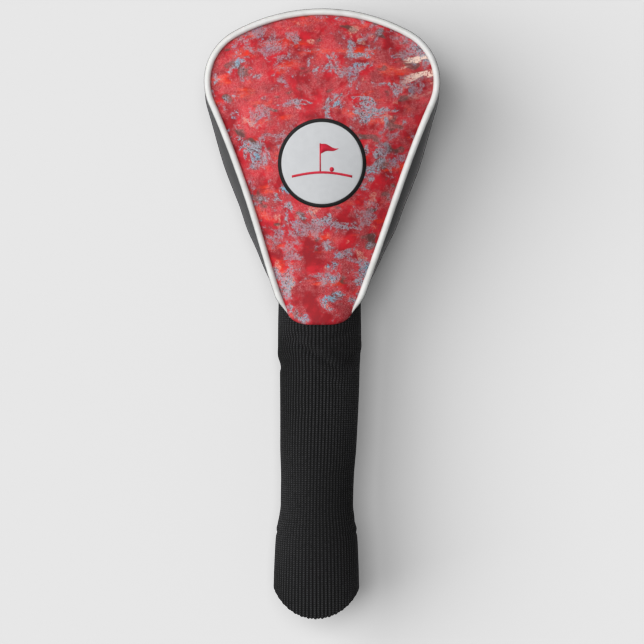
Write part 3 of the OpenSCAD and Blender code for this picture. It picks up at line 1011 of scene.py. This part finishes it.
def plush():
    look = Look("plush", roughness=0.95, specular=0.15, sheen=0.5)
    tufts = look.noise(look.place(), 0.9, 4, 0.7)
    # Painted shade: the pile is painted darker where its relief is low, and lighter on the tufts' tips.
    color = look.blend(tufts, (0.04, 0.04, 0.045), (0.12, 0.12, 0.13))
    return look.finish(color, tufts, 0.8, 0.0008)


def foam():
    look = Look("foam", roughness=0.9, specular=0.2)
    pores = look.noise(look.place(), 1.6, 3, 0.7)
    # Painted shade: the pores, low in the relief, are painted darker than the foam's high parts.
    color = look.blend(pores, (0.5, 0.45, 0.3), (0.75, 0.7, 0.52))
    return look.finish(color, pores, 0.7, 0.0005)


def thread(name, dark, light):
    look = Look(name, roughness=0.6, specular=0.4, sheen=0.2)
    ply = look.wave(look.part(look.place(turn=0.6), 0), 0.35)
    # Painted highlight on each ply and painted shade in the twist between plies.
    return look.finish(look.blend(ply, dark, light), ply, 0.4, 0.0001)


def badge_cloth(name, base, shade):
    look = Look(name, roughness=0.6, specular=0.2)
    mottle = look.noise(look.place(), 0.25, 3)
    color = look.blend(look.range(mottle, 0.3, 0.7), base, shade)
    return look.finish(color, weave_height(look, 0.6, cloth=True), 0.12, 0.0001)


def elastic_band():
    look = Look("white_elastic", roughness=0.7, specular=0.3)
    place = look.place()
    cords = look.wave(look.part(place, 2), 1.2)
    # Painted highlight on the cord tops and painted shade in the grooves between them.
    color = look.blend(cords, (0.55, 0.55, 0.53), (0.75, 0.75, 0.72))
    return look.finish(color, cords, 0.5, 0.0003)


def seam_tape():
    look = Look("black_tape", roughness=0.75, specular=0.3)
    ribs = look.wave(look.part(look.place(), 2), 0.8)
    # Painted highlight on the rib tops and painted shade in the grooves between them.
    return look.finish(look.blend(ribs, (0.012, 0.012, 0.012), (0.03, 0.03, 0.03)), ribs, 0.4, 0.0002)


PRINT = printed_cloth()
NYLON = woven_nylon()
BLACK = black_cloth()
PIPING = white_piping()
KNITTED = rib_knit()
PLUSH_LOOK = plush()
FOAM_LOOK = foam()
THREAD = thread("black_thread", (0.012, 0.012, 0.013), (0.04, 0.04, 0.042))
CORD = thread("white_cord", (0.6, 0.58, 0.54), (0.78, 0.76, 0.72))
DISC = badge_cloth("badge_grey", (0.53, 0.54, 0.555), (0.51, 0.52, 0.535))
RIM = badge_cloth("badge_black", (0.004, 0.004, 0.004), (0.009, 0.009, 0.009))
MOTIF = badge_cloth("badge_red", (0.6, 0.022, 0.05), (0.5, 0.02, 0.04))
ELASTIC = elastic_band()
TAPE = seam_tape()


def dress(obj, material, slot, *nodes):
    """Gives a piece its material, and hides the CAD nodes that it stands for. The slot is not used."""
    obj.data.materials.clear()
    obj.data.materials.append(material)
    if nodes:
        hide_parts(*nodes)
    return obj


def on_cover(obj, material, slot, *nodes):
    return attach(dress(obj, material, slot, *nodes), "cover")


# ---- The camera, the light and the floor ----

def aim(obj, place, target):
    obj.location = place
    obj.rotation_mode = "QUATERNION"
    obj.rotation_quaternion = (Vector(target) - Vector(place)).to_track_quat("-Z", "Y")
    bpy.context.scene.collection.objects.link(obj)


def add_light(name, place, size, power):
    """A square soft light aimed at the cover."""
    data = bpy.data.lights.new(name, "AREA")
    data.shape = "SQUARE"
    data.size = size
    data.energy = power
    light = bpy.data.objects.new(name, data)
    light.visible_camera = False
    aim(light, place, (0, 0, 0))


def make_studio():
    middle = -0.0079
    front_surface, view_width, distance = -0.03, 0.367, 1.5
    camera = bpy.data.cameras.new("camera")
    camera.lens = camera.sensor_width * distance / view_width
    camera.clip_start, camera.clip_end = 0.05, 50
    holder = bpy.data.objects.new("camera", camera)
    aim(holder, (0, front_surface - distance, middle), (0, 0, middle))
    bpy.context.scene.camera = holder
    add_light("key", (-2.3, -2.45, 0.35), 3.2, 112)
    add_light("front", (-0.25, -3.2, 0.2), 1.2, 50)
    add_light("behind", (0.4, 3.2, 0.5), 2.4, 60)
    world = bpy.data.worlds.new("studio")
    bpy.context.scene.world = world
    world.use_nodes = True
    nodes, links = world.node_tree.nodes, world.node_tree.links
    pale = (0.8, 0.8, 0.8, 1)
    shown = nodes["Background"]
    shown.inputs["Color"].default_value = pale
    fill = nodes.new("ShaderNodeBackground")
    fill.inputs["Color"].default_value = pale
    fill.inputs["Strength"].default_value = 0.13
    path = nodes.new("ShaderNodeLightPath")
    choice = nodes.new("ShaderNodeMixShader")
    links.new(path.outputs["Is Camera Ray"], choice.inputs[0])
    links.new(fill.outputs[0], choice.inputs[1])
    links.new(shown.outputs[0], choice.inputs[2])
    links.new(choice.outputs[0], nodes["World Output"].inputs["Surface"])
    bpy.context.scene.view_settings.view_transform = "Standard"


def make_floor():
    """The pale surface that the cover lies on. It takes the shadow and shows the backdrop's tone elsewhere.
    From behind it is clear, and it keeps no light from the cover's back. Its rows lie close together across
    the sock's bend."""
    heights = np.concatenate([[900], np.linspace(FLOOR_BEND[0], FLOOR_BEND[1], 40), [-600]])
    x, z = np.meshgrid(np.linspace(-900, 900, 9), heights)
    y = np.full_like(x, cad_high.y / MM + FLOOR_GAP)
    floor = make_object("floor", np.stack([x, y, z], -1).reshape(-1, 3), grid_faces(len(heights), 9))
    if floor.data.polygons[0].normal.y > 0:
        floor.data.flip_normals()
    floor.is_shadow_catcher = True
    floor.visible_shadow = False
    floor.data.materials.append(floor_look())
    floor.data.polygons.foreach_set("use_smooth", [True] * len(floor.data.polygons))
    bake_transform(floor)


def floor_look():
    look = Look("floor", roughness=0.9, specular=0.1)
    grain = look.noise(look.place(), 0.02, 2)
    look.finish(look.blend(grain, (0.44, 0.44, 0.44), (0.46, 0.46, 0.46)))
    clear = look.nodes.new("ShaderNodeBsdfTransparent")
    clear.inputs["Color"].default_value = (0.1, 0.1, 0.1, 1)
    side = look.nodes.new("ShaderNodeNewGeometry")
    choice = look.nodes.new("ShaderNodeMixShader")
    look.links.new(side.outputs["Backfacing"], choice.inputs[0])
    look.links.new(look.shader.outputs[0], choice.inputs[1])
    look.links.new(clear.outputs[0], choice.inputs[2])
    look.links.new(choice.outputs[0], look.nodes["Material Output"].inputs["Surface"])
    return look.material


make_studio()
make_floor()

# ---- Building the cover ----

# The padding and the lining stop before the neck.
PADDED_END = SEAM_LENGTH * 0.89

shell = {}
for node, make, rows, columns, pucker, flip, look, slot in (
    ("front_panel", panel_sheet, 120, 72, 0.1, False, PRINT, "printed_cloth"),
    ("back_panel", panel_sheet, 110, 64, 0.16, True, BLACK, "black_cloth"),
    ("right_gusset", gusset_sheet, 130, 40, 0.2, False, NYLON, "woven_nylon"),
    ("left_gusset", gusset_sheet, 130, 40, 0.2, True, NYLON, "woven_nylon"),
):
    piece = make(node + "_cloth", 0, CLOTH, rows, columns, SEAM_LENGTH, pucker, flip)
    shell[node] = on_cover(piece, look, slot, node)

for side, make, rows, columns, flip, flat, area in (
    ("front", panel_sheet, 44, 28, False, (0.12, 0.16), 0.0135),
    ("back", panel_sheet, 44, 28, True, (0.12, 0.16), 0.0135),
    ("right", gusset_sheet, 50, 18, False, (0.058, 0.205), 0.0105),
    ("left", gusset_sheet, 50, 18, True, (0.058, 0.205), 0.0105),
):
    pad = make(side + "_foam", FOAM_DEPTH, FOAM, rows, columns, PADDED_END, 0, flip)
    on_cover(pad, FOAM_LOOK, "foam", side + "_padding")
    pile = make(side + "_plush", PLUSH_DEPTH, PLUSH, rows, columns, PADDED_END, 0, flip)
    on_cover(pile, PLUSH_LOOK, "plush", side + "_lining")

sleeve, filler = make_piping()
on_cover(sleeve, PIPING, "white_piping", "piping_sleeve")
on_cover(filler, CORD, "white_cord", "piping_cord")
on_cover(make_stitches("front_seam_stitches", 0.5), THREAD, "black_thread", "front_seam_thread")
on_cover(make_stitches("back_seam_stitches", 0.45, back=True), THREAD, "black_thread", "back_seam_thread")

tree = surface_tree(shell["front_panel"])
on_cover(make_badge_disc(tree), DISC, "badge_grey", "badge_disc")
on_cover(make_badge_ring(tree), RIM, "badge_black", "badge_ring")
on_cover(make_badge_motif(tree), MOTIF, "printed_cloth")

throat = knit_tube("knit_throat_cloth", THROAT_TOP, BEND_HEIGHT, 26)
tube = knit_tube("knit_tube_cloth", BEND_HEIGHT, HEM_LINE, 74)
hem = knit_hem_sheet("knit_hem_cloth")
for piece, node in ((throat, "knit_throat"), (tube, "knit_sock"), (hem, "knit_hem")):
    dress(piece, KNITTED, "black_knit", node)
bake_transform(throat)
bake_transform(tube)
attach(hem, "sock")

for node, slot, look, body, radius, thickness in (
    ("throat_elastic", "white_elastic", ELASTIC, "cover", 19.7, 1.2),
    ("neck_binding", "black_tape", TAPE, "cover", 22.1, 2.3),
    ("hem_elastic", "white_elastic", ELASTIC, "sock", 22.15, 0.6),
):
    bottom, top = (corner.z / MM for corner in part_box(node))
    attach(dress(knitted_band(node + "_band", radius, thickness, top, bottom), look, slot, node), body)
for node, body, radius, z in (
    ("elastic_thread", "cover", 19.75, 0.0),
    ("hem_thread", "sock", SOCK_SHAPE[-5][1] - 0.8, HEM_TOP + 1.5),
):
    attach(dress(round_of_stitches(node + "_stitches", radius, z, 48), THREAD, "black_thread", node), body)
